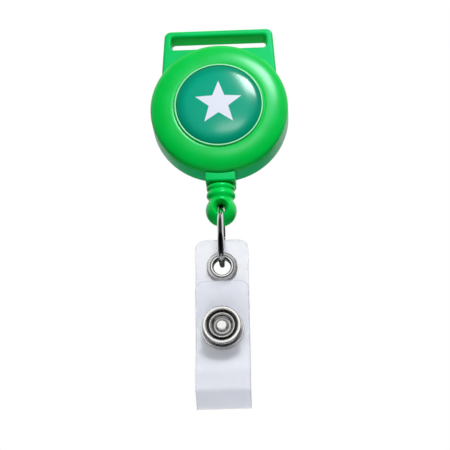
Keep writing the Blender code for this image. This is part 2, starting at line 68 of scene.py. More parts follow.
# --- Sizes repeated from the part ---------------------------------------------------------
# Case, with heights and half widths from its middle, and depths in front of the cord's plane
CASE_RADIUS = 16.0
CASE_BACK = -3.9
WALL = 1.2
BACK_WALL = 1.5
SEAM = 1.9
BOSS_RADIUS = 3.2
BOSS_DEPTH = -0.85
PIN_HOLE_RADIUS = 1.6
PLATE_FOOT = 4.0
PLATE_TOP = 21.04
PLATE_FRONT = 1.15
PLATE_HALF_TOP = 12.75
PLATE_HALF_FOOT = 13.87
PLATE_CORNER = 1.6
SLOT_TOP = 19.34
SLOT_FLOOR = 16.12
SLOT_HALF = 11.19
SLOT_CORNER = 0.8
SLOT_FLARE = 0.75
BLOCK_TOP = -14
BLOCK_BOTTOM = -18.08
BLOCK_HALF = 3.44
BLOCK_FRONT = 3.17
EXIT_RADIUS = 0.85
EXIT_FLARE = 0.35

# Cover and label
DOME_BASE = 2.75
DOME_TOP = 4.72
LIP_RADIUS = 10.25
LABEL_RADIUS = 9.5

# Cord, bead and ring
CORD_RADIUS = 0.4
BALL_RADIUS = 3.56
BEAD_TOP = 6.07
WIRE_RADIUS = 0.7

# Strap, with the last three as heights from the ring's lowest point
STRAP_HALF = 6.02
STRAP_THICKNESS = 0.5
STRAP_CORNER = 2.2
FLAP_DEPTH = 1.8
LOOP_DEPTH = 4.95
CREASE = -30.5
LOOP_TOP = -26.2
LEAN_TOP = -20.3

# The generic mark on the label
STAR_POINTS = 5
STAR_TIP = 5.6
STAR_NOTCH = 2.35


# --- Places taken from the CAD ------------------------------------------------------------
def box_mm(node):
    """The low and high corners of a CAD node's box."""
    low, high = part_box(node)
    return low / MM, high / MM


def middle(node):
    """The middle of a CAD node's box."""
    low, high = box_mm(node)
    return (low + high) / 2


CASE = Vector((middle("front_cover").x, 0, middle("front_cover").z))
BALL = Vector((0, 0, box_mm("bead")[0].z + BALL_RADIUS))
RING = Vector((0, 0, middle("ring").z))
RING_RADIUS = (box_mm("ring")[1].z - box_mm("ring")[0].z) / 2 - WIRE_RADIUS
EYELET = Vector((0, 0, middle("strap_eyelet").z))
SNAP = Vector((0, 0, middle("snap_cap").z))
FOLD = next(Vector(j["pos_m"]) / MM for j in frame["joints"] if j["name"] == "flap_open")


# --- Mesh helpers -------------------------------------------------------------------------
def mesh_object(name, points, faces, uvs=()):
    """An object with outward faces, and where UVs are given, one for each face's corner."""
    mesh = bpy.data.meshes.new(name)
    mesh.from_pydata([Vector(p) * MM for p in points], [], faces)
    if uvs:
        layer = mesh.uv_layers.new(name="along")
        for loop, uv in zip(layer.data, uvs):
            loop.uv = uv
    shape = bmesh.new()
    shape.from_mesh(mesh)
    bmesh.ops.recalc_face_normals(shape, faces=shape.faces)
    shape.to_mesh(mesh)
    shape.free()
    obj = bpy.data.objects.new(name, mesh)
    bpy.context.scene.collection.objects.link(obj)
    return obj


def turned(name, profile, steps, centre, axis=FRONT):
    """Turn (radius, distance along the axis) points round an axis through centre.

    The axis points to the front or up.  A profile that starts off the axis closes on itself.
    """
    points, rows = [], []
    for radius, height in profile:
        count = steps if radius > 1e-6 else 1
        rows.append([len(points) + i for i in range(count)])
        for i in range(count):
            angle = math.tau * i / steps
            across, along = radius * math.cos(angle), radius * math.sin(angle)
            turn = (across, -height, along) if axis == FRONT else (across, along, height)
            points.append(centre + Vector(turn))
    closed = profile[0][0] > 1e-6
    pairs = list(zip(rows, rows[1:] + rows[:1])) if closed else list(zip(rows, rows[1:]))
    faces = []
    for first, second in pairs:
        for i in range(steps):
            corners = [first[i % len(first)], first[(i + 1) % len(first)],
                       second[(i + 1) % len(second)], second[i % len(second)]]
            faces.append(list(dict.fromkeys(corners)))
    return mesh_object(name, points, faces)


def rounded(corners, steps=6):
    """An outline or path through (x, y, radius) corners, each one rounded by its radius."""
    points = []
    for index, (x, y, radius) in enumerate(corners):
        here = Vector((x, y))
        if radius == 0:
            points.append((x, y))
            continue
        before = (Vector(corners[index - 1][:2]) - here).normalized()
        after = (Vector(corners[(index + 1) % len(corners)][:2]) - here).normalized()
        half = before.angle(after) / 2
        centre = here + (before + after).normalized() * (radius / math.sin(half))
        start = here + before * (radius / math.tan(half)) - centre
        sweep = start.angle_signed(here + after * (radius / math.tan(half)) - centre)
        for step in range(steps + 1):
            turn = Matrix.Rotation(-sweep * step / steps, 2)
            points.append(tuple(centre + turn @ start))
    return points


def arc(centre, radius, start, end, count):
    """Points on an arc, with angles in degrees anticlockwise from the first axis."""
    angles = [math.radians(start + (end - start) * i / count) for i in range(count + 1)]
    return [(centre[0] + radius * math.cos(a), centre[1] + radius * math.sin(a)) for a in angles]


def loft(name, layers, centre):
    """A solid through outlines of (x, z) points, each one at its own depth."""
    count = len(layers[0][0])
    points = [centre + Vector((x, -depth, z)) for outline, depth in layers for x, z in outline]
    faces = [list(range(count)), list(range(len(points) - count, len(points)))]
    for row in range(len(layers) - 1):
        for i in range(count):
            here, beside = row * count + i, row * count + (i + 1) % count
            faces.append([here, beside, beside + count, here + count])
    return mesh_object(name, points, faces)


def rectangle(left, right, bottom, top, corner, steps=6):
    """A rectangle's outline with round corners."""
    return rounded([(left, bottom, corner), (right, bottom, corner),
                    (right, top, corner), (left, top, corner)], steps)


def tube(name, path, radius, sides, closed=False):
    """A round tube along a path, with UVs that run along it in millimetres."""
    path = [Vector(p) for p in path]
    count = len(path)
    across = Vector((1, 0, 0))
    points, lengths, length = [], [], 0.0
    for i, here in enumerate(path):
        ahead = path[(i + 1) % count] if closed or i < count - 1 else here
        behind = path[i - 1] if closed or i > 0 else here
        along = (ahead - behind).normalized()
        across = (across - along * across.dot(along)).normalized()
        beside = along.cross(across)
        if i:
            length += (here - path[i - 1]).length
        lengths.append(length)
        for side in range(sides):
            turn = math.tau * side / sides
            points.append(here + (across * math.cos(turn) + beside * math.sin(turn)) * radius)
    faces, uvs = [], []
    for i in range(count if closed else count - 1):
        after = (i + 1) % count
        for side in range(sides):
            beside = (side + 1) % sides
            faces.append([i * sides + side, i * sides + beside,
                          after * sides + beside, after * sides + side])
            end = lengths[after] if after else length
            uvs += [(lengths[i], side / sides), (lengths[i], (side + 1) / sides),
                    (end, (side + 1) / sides), (end, side / sides)]
    if not closed:
        faces += [list(range(sides)), list(range((count - 1) * sides, count * sides))]
        uvs += [(0.0, 0.0)] * (2 * sides)
    return mesh_object(name, points, faces, uvs)


def combined(obj, other, operation):
    """Cut or join with another object, which is then deleted."""
    modifier = obj.modifiers.new("boolean", "BOOLEAN")
    modifier.operation = operation
    modifier.solver = "EXACT"
    modifier.object = other
    applied(obj)
    bpy.data.objects.remove(other)


def applied(obj):
    """Make the result of an object's modifiers its mesh."""
    bpy.context.view_layer.update()
    graph = bpy.context.evaluated_depsgraph_get()
    mesh = bpy.data.meshes.new_from_object(obj.evaluated_get(graph))
    obj.modifiers.clear()
    obj.data = mesh


def bevelled(obj, width, segments, angle=40):
    """Round the edges that are sharper than an angle in degrees."""
    modifier = obj.modifiers.new("edges", "BEVEL")
    modifier.width = width * MM
    modifier.segments = segments
    modifier.limit_method = "ANGLE"
    modifier.angle_limit = math.radians(angle)
    applied(obj)


# --- Material helpers ---------------------------------------------------------------------
class Nodes:
    """Short ways to add nodes to a tree and to link them."""

    def __init__(self, tree):
        self.tree = tree

    def feed(self, socket, value):
        if isinstance(value, bpy.types.NodeSocket):
            self.tree.links.new(value, socket)
        else:
            socket.default_value = value

    def node(self, kind, inputs=(), output=0, **settings):
        made = self.tree.nodes.new(kind)
        for name, value in settings.items():
            setattr(made, name, value)
        for socket, value in dict(inputs).items():
            self.feed(made.inputs[socket], value)
        return made.outputs[output]

    def maths(self, operation, *values):
        return self.node("ShaderNodeMath", enumerate(values), operation=operation)

    def split(self, vector):
        """The x, y and z sockets of a vector."""
        made = self.tree.nodes.new("ShaderNodeSeparateXYZ")
        self.feed(made.inputs[0], vector)
        return tuple(made.outputs)

    def between(self, factor, low, high, new_low, new_high):
        """A smooth step of the factor between two values."""
        return self.node("ShaderNodeMapRange", {
            "Value": factor, "From Min": low, "From Max": high,
            "To Min": new_low, "To Max": new_high}, interpolation_type="SMOOTHSTEP")

    def band(self, value, rise, fall):
        """A band that is 1 inside, and fades in and out over two ranges of the value."""
        return self.maths("MULTIPLY", self.between(value, *rise, 0.0, 1.0),
                          self.between(value, *fall, 1.0, 0.0))


class Finish(Nodes):
    """A Principled material, and short ways to build the nodes that feed it."""

    def __init__(self, name, **settings):
        self.material = bpy.data.materials.new(name)
        self.material.use_nodes = True
        super().__init__(self.material.node_tree)
        self.shader = self.tree.nodes["Principled BSDF"]
        self.set(**settings)

    def set(self, **settings):
        """Feed the shader's inputs, with _ in place of the spaces in their names."""
        for name, value in settings.items():
            self.feed(self.shader.inputs[name.replace("_", " ")], value)
        return self

    def place(self):
        """The point on the object, in metres in the row frame at rest."""
        return self.node("ShaderNodeTexCoord", output="Object")

    def noise(self, size, detail=2.0, stretch=(1, 1, 1)):
        """Noise whose blotches are about size millimetres across, and longer where stretched."""
        scale = [1 / (size * MM * s) for s in stretch]
        spread = self.node("ShaderNodeVectorMath", {0: self.place(), 1: scale},
                           operation="MULTIPLY")
        return self.node("ShaderNodeTexNoise", {"Vector": spread, "Scale": 1.0,
                                                "Detail": detail}, output="Fac")

    def ramp(self, factor, *stops):
        """A colour ramp with (position, colour) stops."""
        made = self.tree.nodes.new("ShaderNodeValToRGB")
        self.feed(made.inputs[0], factor)
        while len(made.color_ramp.elements) < len(stops):
            made.color_ramp.elements.new(0.5)
        for element, (position, colour) in zip(made.color_ramp.elements, stops):
            element.position = position
            element.color = (*colour, 1.0)
        return made.outputs["Color"]

    def mixed(self, factor, first, second):
        """A mix of two colours, each one a tuple or a socket."""
        made = self.tree.nodes.new("ShaderNodeMix")
        made.data_type = "RGBA"
        self.feed(made.inputs["Factor"], factor)
        self.feed(made.inputs[6], (*first, 1.0) if isinstance(first, tuple) else first)
        self.feed(made.inputs[7], (*second, 1.0) if isinstance(second, tuple) else second)
        return made.outputs[2]

    def offset(self, centre):
        """The point's place from a centre in millimetres, as x, y and z sockets."""
        shifted = self.node("ShaderNodeVectorMath", {0: self.place(), 1: centre * MM},
                            operation="SUBTRACT")
        return self.split(self.node("ShaderNodeVectorMath", {0: shifted, 1: (1 / MM,) * 3},
                                    operation="MULTIPLY"))

    def radius(self, centre):
        """Distance in millimetres from a front-to-back axis through centre."""
        x, _, z = self.offset(centre)
        return self.maths("SQRT", self.maths("ADD", self.maths("MULTIPLY", x, x),
                                             self.maths("MULTIPLY", z, z)))

    def tint(self, factor, colour):
        """Lay a colour over the linked base colour, where the factor is 1."""
        base = self.shader.inputs["Base Color"].links[0].from_socket
        return self.set(Base_Color=self.mixed(factor, base, colour))

    def uv(self, name):
        """The two sockets of a UV map."""
        return self.split(self.node("ShaderNodeUVMap", output="UV", uv_map=name))[:2]

    def bumps(self, *heights):
        """Feed the normal from (height socket, strength, distance in millimetres) in turn."""
        normal = None
        for height, strength, distance in heights:
            inputs = {"Height": height, "Strength": strength, "Distance": distance * MM}
            if normal is not None:
                inputs["Normal"] = normal
            normal = self.node("ShaderNodeBump", inputs, output="Normal")
        self.feed(self.shader.inputs["Normal"], normal)
        return self


def dress(obj, finish):
    """Give the whole object one material."""
    obj.data.materials.clear()
    obj.data.materials.append(finish.material)


def piece(obj, finish, body, slot, *replaced, angle=35):
    """Smooth a finished mesh, dress it, attach it to its body, and hide the CAD nodes that it
    replaces. The slot is not used.
    """
    obj.data.shade_smooth()
    obj.data.set_sharp_from_angle(angle=math.radians(angle))
    dress(obj, finish)
    if body:
        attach(obj, body)
    if replaced:
        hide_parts(*replaced)
    return obj


# --- Materials ----------------------------------------------------------------------------
def plastic(name, light, deep, roughness, grain=0.12):
    """Moulded plastic: slightly mottled colour, orange-peel surface and fine mould texture."""
    made = Finish(name, Specular_IOR_Level=0.4, Specular_Tint=(0.2, 1.0, 1.0, 1.0))
    mottle = made.noise(4.0, detail=3.0)
    made.set(Base_Color=made.mixed(made.between(mottle, 0.3, 0.7, 0.0, 1.0), light, deep))
    wear = made.noise(1.4, detail=4.0)
    made.set(Roughness=made.between(wear, 0.25, 0.75, roughness - 0.04, roughness + 0.05))
    return made.bumps((made.noise(2.5, detail=1.0), 0.12, 0.03),
                      (made.noise(0.09, detail=2.0), grain, 0.008))


def nickel(name, roughness, centre=None, light=(0.78, 0.77, 0.755), deep=(0.66, 0.655, 0.64)):
    """Bright nickel plate, faintly dented, with turning marks where a centre is given."""
    made = Finish(name, Metallic=1.0)
    tarnish = made.noise(0.9, detail=3.0)
    made.set(Base_Color=made.mixed(tarnish, light, deep))
    smudge = made.noise(0.5, detail=4.0)
    made.set(Roughness=made.between(smudge, 0.25, 0.8, roughness * 0.8, roughness * 1.3))
    dents = made.noise(0.7, detail=2.0)
    heights = [(dents, 0.1, 0.003)]
    if centre is not None:
        rings = made.node("ShaderNodeTexNoise", {"W": made.radius(centre), "Scale": 5.0,
                                                 "Detail": 2.0},
                          output="Fac", noise_dimensions="1D")
        heights.append((rings, 0.06, 0.002))
    return made.bumps(*heights)


def ringed_nickel(name, roughness, centre, bands, **colours):
    """Nickel plate with painted shade (dark greys) or a painted highlight (light greys) in bands
    between two radii round a centre.
    """
    made = nickel(name, roughness, centre, **colours)
    radius = made.radius(centre)
    fade = 0.06
    # Each band lays a flat grey: painted shade where it is dark, a painted highlight where it is
    # light.
    for inner, outer, shade in bands:
        inside = made.band(radius, (inner - fade, inner + fade), (outer - fade, outer + fade))
        made.tint(inside, (shade,) * 3)
    return made


def vinyl(name, length):
    """Frosted clear vinyl: milky, faintly blue, satin, with painted shade, a darker blue-grey,
    along its cut edge.
    """
    made = Finish(name, Alpha=0.42, IOR=1.5, Specular_IOR_Level=0.3, Subsurface_Weight=0.8,
                  Subsurface_Radius=(1.0, 1.0, 1.1), Subsurface_Scale=0.0008)
    cloud = made.noise(5.0, detail=3.0)
    milky = made.mixed(cloud, (0.81, 0.83, 0.935), (0.84, 0.86, 0.955))
    across, along = made.uv("flat")
    beyond = []         # past the straight part of each side, towards the round corners
    for value, middle_at, reach in ((across, 0.0, STRAP_HALF), (along, length / 2, length / 2)):
        away = made.maths("ABSOLUTE", made.maths("SUBTRACT", value, middle_at))
        beyond.append(made.maths("SUBTRACT", away, reach - STRAP_CORNER))
    inner = made.maths("MAXIMUM", *beyond)
    corner = [made.maths("MAXIMUM", value, 0.0) for value in beyond]
    diagonal = made.maths("SQRT", made.maths("ADD", made.maths("POWER", corner[0], 2.0),
                                             made.maths("POWER", corner[1], 2.0)))
    from_edge = made.maths("SUBTRACT", STRAP_CORNER,
                           made.maths("ADD", diagonal, made.maths("MINIMUM", inner, 0.0)))
    # Painted shade: a darker blue-grey band along the cut edge of the strip.
    rim = made.between(from_edge, 0.06, 0.26, 1.0, 0.0)
    made.set(Base_Color=made.mixed(rim, milky, (0.58, 0.61, 0.70)))
    made.set(Roughness=made.between(made.noise(1.0, detail=3.0), 0.2, 0.8, 0.34, 0.46))
    return made.bumps((made.noise(6.0, detail=1.0), 0.1, 0.05),
                      (made.noise(0.12, detail=2.0), 0.12, 0.006))


def braid(name):
    """Black nylon braid, its strands crossing along the cord."""
    pitch, strands = 0.55, 4
    made = Finish(name, Specular_IOR_Level=0.45)
    length, turn = made.uv("along")
    along = made.maths("MULTIPLY", length, math.tau / pitch)
    around = made.maths("MULTIPLY", turn, math.tau * strands)
    left = made.maths("SINE", made.maths("ADD", around, along))
    right = made.maths("SINE", made.maths("SUBTRACT", around, along))
    weave = made.maths("MAXIMUM", left, right)
    made.set(Base_Color=made.ramp(made.between(weave, -0.2, 1.0, 0.0, 1.0),
                                  (0.0, (0.004, 0.004, 0.005)), (1.0, (0.03, 0.03, 0.033))))
    made.set(Roughness=made.between(weave, -0.2, 1.0, 0.85, 0.55))
    return made.bumps((weave, 0.6, 0.06))


def label_print(name):
    """Teal print under clear resin, with a plain star in white, and painted shade darkening the
    teal towards its edge.

    The star's sectors are folded onto one half of a point, so its edge is one straight line.
    """
    made = Finish(name, Coat_Weight=0.65, Coat_Roughness=0.17, Coat_IOR=1.5, Roughness=0.5,
                  Specular_IOR_Level=0.0)
    x, _, z = made.offset(CASE)
    radius = made.radius(CASE)
    sector = math.tau / STAR_POINTS
    turn = made.maths("ARCTAN2", x, z)
    folded = made.maths("SUBTRACT", made.maths("FLOORED_MODULO", made.maths(
        "ADD", turn, sector / 2), sector), sector / 2)
    along = made.maths("MULTIPLY", radius, made.maths("COSINE", folded))
    aside = made.maths("ABSOLUTE", made.maths("MULTIPLY", radius, made.maths("SINE", folded)))
    tip = Vector((STAR_TIP, 0.0))
    notch = STAR_NOTCH * Vector((math.cos(sector / 2), math.sin(sector / 2)))
    edge = notch - tip
    normal = Vector((edge.y, -edge.x)).normalized()
    reach = made.maths("ADD", made.maths("MULTIPLY", along, normal.x),
                       made.maths("MULTIPLY", aside, normal.y))
    edge_at, blur = normal.dot(tip), 0.04
    star = made.between(reach, edge_at - blur, edge_at + blur, 1.0, 0.0)
    speckle = made.noise(0.3, detail=2.0)
    middle_teal = made.mixed(speckle, (0.0, 0.325, 0.20), (0.0, 0.35, 0.215))
    # Painted shade: the teal darkens from 7 mm out to the label's edge, where the resin dome
    # curves away.
    shade = made.between(radius, 7.0, LABEL_RADIUS, 0.0, 1.0)
    teal = made.mixed(shade, middle_teal, (0.0, 0.25, 0.14))
    made.set(Base_Color=made.mixed(star, teal, (0.70, 0.74, 0.84)))
    return made


BEAD_GREEN = plastic("bead_green", (0.0, 0.60, 0.07), (0.0, 0.56, 0.055), 0.24)
NATURAL = plastic("natural_acetal", (0.74, 0.74, 0.69), (0.68, 0.68, 0.63), 0.45)
LABEL = label_print("label_print")
BRAID = braid("black_braid")
WIRE_NICKEL = nickel("wire_nickel", 0.1)
# Painted shade inside the barrel and in the groove outside the rolled rim, and a painted
# highlight on the rim's crest.
EYELET_NICKEL = ringed_nickel(
    "eyelet_nickel", 0.3, EYELET, [(1.5, 2.24, 0.12), (2.24, 2.46, 0.85), (2.5, 2.72, 0.2)],
    light=(0.64, 0.635, 0.63), deep=(0.56, 0.555, 0.55))
SNAP_NICKEL = nickel("snap_nickel", 0.16, SNAP)
# Painted shade in the cap's deep channel, and lighter painted shade in the bowl round the stud's
# ball.
CAP_NICKEL = ringed_nickel("cap_nickel", 0.24, SNAP, [(2.92, 3.42, 0.2), (1.42, 2.5, 0.42)])
# Painted shade on the socket's recessed necks and inner faces, and a painted highlight on its
# flange crests.
SOCKET_NICKEL = ringed_nickel("socket_nickel", 0.2, SNAP, [(2.0, 4.42, 0.16), (4.5, 5.0, 0.75)])
PIN_STEEL = nickel("pin_steel", 0.3, CASE, (0.62, 0.62, 0.63), (0.5, 0.5, 0.51))
SPRING_STEEL = nickel("spring_steel", 0.28, None, (0.42, 0.45, 0.5), (0.3, 0.33, 0.4))
BLACK_NYLON = plastic("black_nylon", (0.02, 0.02, 0.022), (0.008, 0.008, 0.009), 0.65, grain=0.5)


# --- Case ---------------------------------------------------------------------------------
def case_shell():
    """Back shell in one moulding, with the lanyard plate, exit block and spool boss."""
    # The rim's first corner only aims the rounding of the next one, and is dropped.
    rim = rounded([(CASE_RADIUS - 0.05, SEAM + 5, 0), (CASE_RADIUS, SEAM, 0.08),
                   (CASE_RADIUS, CASE_BACK, 0.45), (0, CASE_BACK, 0)], 5)[1:]
    body = turned("case_shell", [(0, SEAM), *rim], CASE_STEPS, CASE)
    for solid in (lanyard_plate(), exit_block()):
        combined(body, solid, "UNION")
    for space in (*spool_room(), lanyard_slot(), *cord_exit()):
        combined(body, space, "DIFFERENCE")
    return piece(body, case_finish(), "case", "case_plastic", "back_case", angle=30)


def lanyard_plate():
    """The tapered plate on top, before the slot is cut through it."""
    outline = rounded([
        (-PLATE_HALF_FOOT, PLATE_FOOT, 0), (PLATE_HALF_FOOT, PLATE_FOOT, 0),
        (PLATE_HALF_TOP, PLATE_TOP, PLATE_CORNER), (-PLATE_HALF_TOP, PLATE_TOP, PLATE_CORNER)],
        10)
    plate = loft("lanyard_plate", [(outline, CASE_BACK), (outline, PLATE_FRONT)], CASE)
    bevelled(plate, 0.55, 6)
    return plate


def exit_block():
    """The square block at the bottom, where the cord comes out."""
    corner = 0.45
    outline = rounded([
        (-BLOCK_HALF, BLOCK_TOP, 0), (-BLOCK_HALF, BLOCK_BOTTOM, corner),
        (BLOCK_HALF, BLOCK_BOTTOM, corner), (BLOCK_HALF, BLOCK_TOP, 0)], 6)
    block = loft("exit_block", [(outline, CASE_BACK + 0.02), (outline, BLOCK_FRONT)], CASE)
    bevelled(block, 0.3, 4)
    return block


def spool_room():
    """The room for the cover, and the cavity round the boss for the spool and its pin."""
    floor = CASE_BACK + BACK_WALL
    room = turned("cover_room", [(0, 6), (CASE_RADIUS + 0.3, 6), (CASE_RADIUS + 0.3, SEAM),
                                 (0, SEAM)], CASE_STEPS, CASE)
    cavity = turned("cavity", [
        (0, 5), (CASE_RADIUS - WALL, 5), (CASE_RADIUS - WALL, floor), (BOSS_RADIUS, floor),
        (BOSS_RADIUS, BOSS_DEPTH), (PIN_HOLE_RADIUS, BOSS_DEPTH), (PIN_HOLE_RADIUS, floor - 0.3),
        (0, floor - 0.3)], 128, CASE)
    return room, cavity


def lanyard_slot():
    """The slot, whose lips flare to the front and back in quarter circles."""
    def outline(grow):
        return rectangle(-SLOT_HALF - grow * 0.7, SLOT_HALF + grow * 0.7,
                         SLOT_FLOOR - grow * 0.1, SLOT_TOP + grow, SLOT_CORNER + grow / 2, 6)

    mouth = outline(SLOT_FLARE + 0.02)
    lips = [math.radians(15 * i) for i in range(7)]
    rings = [(outline(SLOT_FLARE * (1 - math.sin(a))), SLOT_FLARE * (1 - math.cos(a)))
             for a in lips]
    return loft("slot", [
        (mouth, CASE_BACK - 1), (mouth, CASE_BACK),
        *[(ring, CASE_BACK + sunk) for ring, sunk in rings],
        *[(ring, PLATE_FRONT - sunk) for ring, sunk in reversed(rings)],
        (mouth, PLATE_FRONT), (mouth, PLATE_FRONT + 1.25)], CASE)


def cord_exit():
    """The funnel that leads the cord down to its bore, and the bore with its flared mouth."""
    top, neck = -13.5, -16.2
    funnel = loft("exit_funnel", [
        ([(-2.8, top), (-EXIT_RADIUS, neck), (EXIT_RADIUS, neck), (2.8, top)], depth)
        for depth in (-EXIT_RADIUS, EXIT_RADIUS)], CASE)
    mouth = [(EXIT_RADIUS + EXIT_FLARE * (1 - math.cos(math.radians(a))),
              BLOCK_BOTTOM + EXIT_FLARE * (1 - math.sin(math.radians(a))))
             for a in range(0, 91, 15)]
    bore = turned("exit_bore", [(0, -15.8), (EXIT_RADIUS, -15.8), *mouth,
                                (EXIT_RADIUS + EXIT_FLARE + 0.01, -19), (0, -19)], 48, CASE, UP)
    return funnel, bore


def case_finish():
    """The back shell's green, with painted shade, a bluer green, on the bottom half of its side
    wall.
    """
    made = plastic("case_green", (0.0, 0.53, 0.088), (0.0, 0.50, 0.072), 0.36)
    wall = made.band(made.radius(CASE), (CASE_RADIUS - 0.3, CASE_RADIUS - 0.05),
                     (CASE_RADIUS + 0.1, CASE_RADIUS + 0.4))
    height = made.offset(CASE)[2]
    # Painted shade: a bluer green laid over the side wall below the case's middle.
    painted_shade_low_wall = made.maths("MULTIPLY", wall, made.between(height, -4.0, 6.0, 1.0, 0.0))
    return made.tint(painted_shade_low_wall, (0.0, 0.49, 0.14))


def cover_dome():
    """Front shell: a smooth dome, a thin lip round the label with a painted highlight along its
    crest, and the inner spigot.
    """
    lip_radius, lip_depth, lip_round = 10.08, 4.91, 0.22
    crest = [(lip_radius - lip_round * math.cos(math.radians(a)),
              lip_depth + lip_round * math.sin(math.radians(a))) for a in range(0, 181, 18)]
    groove = [(10.36, 4.74), (10.44, 4.66), (10.56, 4.63), (10.68, 4.66)]
    start = LIP_RADIUS + 0.5
    dome = [(start + (CASE_RADIUS - start) * math.sin(math.radians(a)),
             DOME_BASE + (DOME_TOP - DOME_BASE) * math.cos(math.radians(a)))
            for a in range(2, 91, 4)]
    rim = [(CASE_RADIUS, SEAM + 0.14), (CASE_RADIUS - 0.08, SEAM + 0.06)]
    spigot = [(14.5, SEAM + 0.06), (14.5, 1.1), (14.4, 1.0), (14.1, 1.0), (14.1, 2.5)]
    ceiling, socket = 3.1, 2.45
    inside = [(12.5, 2.95), (9.5, ceiling), (2.9, ceiling), (2.9, socket), (1.9, socket),
              (1.9, ceiling), (0, ceiling)]
    shell = turned("cover_dome", [(0, 4.0), (9.86, 4.0), *crest, *groove, *dome, *rim, *spigot,
                                  *inside], CASE_STEPS, CASE)
    return piece(shell, cover_finish(), "case", "cover_plastic", "front_cover", angle=40)


def cover_finish():
    """The cover's green, with a painted highlight in pale green along the crest of the thin lip
    round the label.
    """
    made = plastic("cover_green", (0.0, 0.53, 0.06), (0.0, 0.50, 0.047), 0.36, grain=0.08)
    made.set(Specular_IOR_Level=0.25, Coat_Weight=0.45, Coat_Roughness=0.25, Coat_IOR=1.5)
    # Painted highlight: a pale green band on the lip's crest, where the lip catches the light.
    crest = made.band(made.radius(CASE), (9.9, 10.0), (10.16, 10.3))
    return made.tint(crest, (0.36, 0.80, 0.52))


def resin_label():
    """The printed film and its poured resin as one dome, with the print under a glossy coat."""
    radius, edge, top, rim, flatness = 9.85, 4.74, 5.95, 4.82, 0.8
    angles = [math.radians(a) for a in range(0, 86, 3)]
    crown = [(radius * math.sin(a), edge + (top - edge) * math.cos(a) ** flatness)
             for a in angles]
    dome = turned("resin_label", [*crown, (radius, rim), (radius - 0.02, rim - 0.12),
                                  (0, rim - 0.12)], CASE_STEPS, CASE)
    return piece(dome, LABEL, "case", "resin", "resin_dome", angle=50)


# --- Cord ---------------------------------------------------------------------------------
def cord_turns():
    """The wound cord: four layers of two turns, drawn as one long spiral."""
    first_radius, aside, layers, turns_in_layer, steps, easing = 9.5, 0.43, 4, 2, 72, 6
    path = []
    for layer in range(layers):
        for turn in range(turns_in_layer):
            for step in range(steps):
                side = aside if (turn + layer) % 2 else -aside
                path.append((first_radius + layer * 2 * CORD_RADIUS, side,
                             math.tau * step / steps))
    smooth = []
    for index, (_, _, angle) in enumerate(path):
        window = path[max(0, index - easing):index + easing + 1]
        radius = sum(p[0] for p in window) / len(window)
        side = sum(p[1] for p in window) / len(window)
        smooth.append(CASE + Vector((radius * math.cos(angle), side, radius * math.sin(angle))))
    turns = tube("cord_turns", smooth, CORD_RADIUS, 10)
    return piece(turns, BRAID, "spool", "cord", "cord_winding")


def pull_cord():
    """The cord between the exit and the bead, which draws out as the bead is pulled.

    It starts inside the end of the run and reaches down to the bottom of the tail.
    """
    overlap, steps = 0.4, 64
    top = box_mm("cord_run")[0].z + overlap
    foot = box_mm("cord_tail")[0].z
    path = [(0, 0, top + (foot - top) * i / steps) for i in range(steps + 1)]
    cord = tube("pull_cord", path, CORD_RADIUS - 0.01, 16)
    piece(cord, BRAID, None, "cord", "cord_tail")
    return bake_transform(cord)


# --- Bead and ring ------------------------------------------------------------------------
def stopper_bead():
    """Stopper bead: a two-ribbed neck and a ball with a funnel-mouthed eye through it."""
    neck = [(2.35, 0), (2.7, -0.03), (3.0, -0.14), (3.2, -0.33), (3.31, -0.58), (3.3, -0.85),
            (3.18, -1.12), (3.03, -1.32), (2.95, -1.5), (3.03, -1.68), (3.2, -1.92),
            (3.32, -2.2), (3.34, -2.5), (3.26, -2.78), (3.1, -3.02), (2.93, -3.25),
            (2.84, -3.5), (2.86, -3.75)]
    ball = arc((0, 0), BALL_RADIUS, 34, -90, 30)[:-1]
    body = turned("stopper_bead", [(0, BEAD_TOP), *[(r, BEAD_TOP + h) for r, h in neck], *ball,
                                   (0, -BALL_RADIUS)], 96, BALL, UP)
    combined(body, ring_eye(), "DIFFERENCE")
    bore, knot_room = 0.75, 1.15
    combined(body, turned("cord_bore", [
        (0, 8), (bore, 8), (bore, 2.8), (knot_room, 2.4), (knot_room, 0.9), (0, 0.9)],
        32, BALL, UP), "DIFFERENCE")
    return piece(body, BEAD_GREEN, "bead", "bead_plastic", "bead", angle=50)


def ring_eye():
    """The ball's eye: a tall throat for the wire, that opens to a round funnel at each end."""
    throat, throat_width, mouth_at, end = 1.2, 0.64, 3.3, 4.2
    half = []
    for i in range(15):
        along = mouth_at * i / 14
        half.append((throat + 0.78 * (along / 2.96) ** 3.0, along))
    reach = half[-1][0]
    half += [(reach + 0.25, 3.6), (reach + 0.5, end)]
    eye = turned("eye", [(0, end), *reversed(half), *[(r, -h) for r, h in half[1:]], (0, -end)],
                 72, BALL)
    for vertex in eye.data.vertices:
        away = min(abs(vertex.co.y) / MM / mouth_at, 1.0)
        vertex.co.x *= throat_width + (1 - throat_width) * away ** 2
    return eye


def wire_ring():
    """Jump ring of round wire, sprung closed, its two cut ends facing each other behind."""
    ends_at, half_gap = 20, 0.06
    butt = math.degrees(half_gap / RING_RADIUS)
    path = [RING + Vector((0, y, z)) for y, z in arc(
        (0, 0), RING_RADIUS, ends_at + butt, ends_at + 360 - butt, 160)]
    ring = tube("wire_ring", path, WIRE_RADIUS, 28)
    return piece(ring, WIRE_NICKEL, "ring", "nickel_wire", "ring")


# --- Strap --------------------------------------------------------------------------------
def strap_path():
    """(depth, height above the fold) down the back layer, round the fold and up the flap."""
    top = box_mm("strap_back")[1].z - FOLD.z
    flap_top = box_mm("strap_flap")[1].z - FOLD.z
    rise = RING.z - RING_RADIUS - FOLD.z
    corners = [(0, top, 0), (0, 0, 0.35), (LOOP_DEPTH, rise + CREASE, 1.0),
               (LOOP_DEPTH, rise + LOOP_TOP, 3.2), (FLAP_DEPTH, rise + LEAN_TOP, 7.0),
               (FLAP_DEPTH, flap_top, 0)]
    return [Vector(point) for point in rounded(corners, 10)]


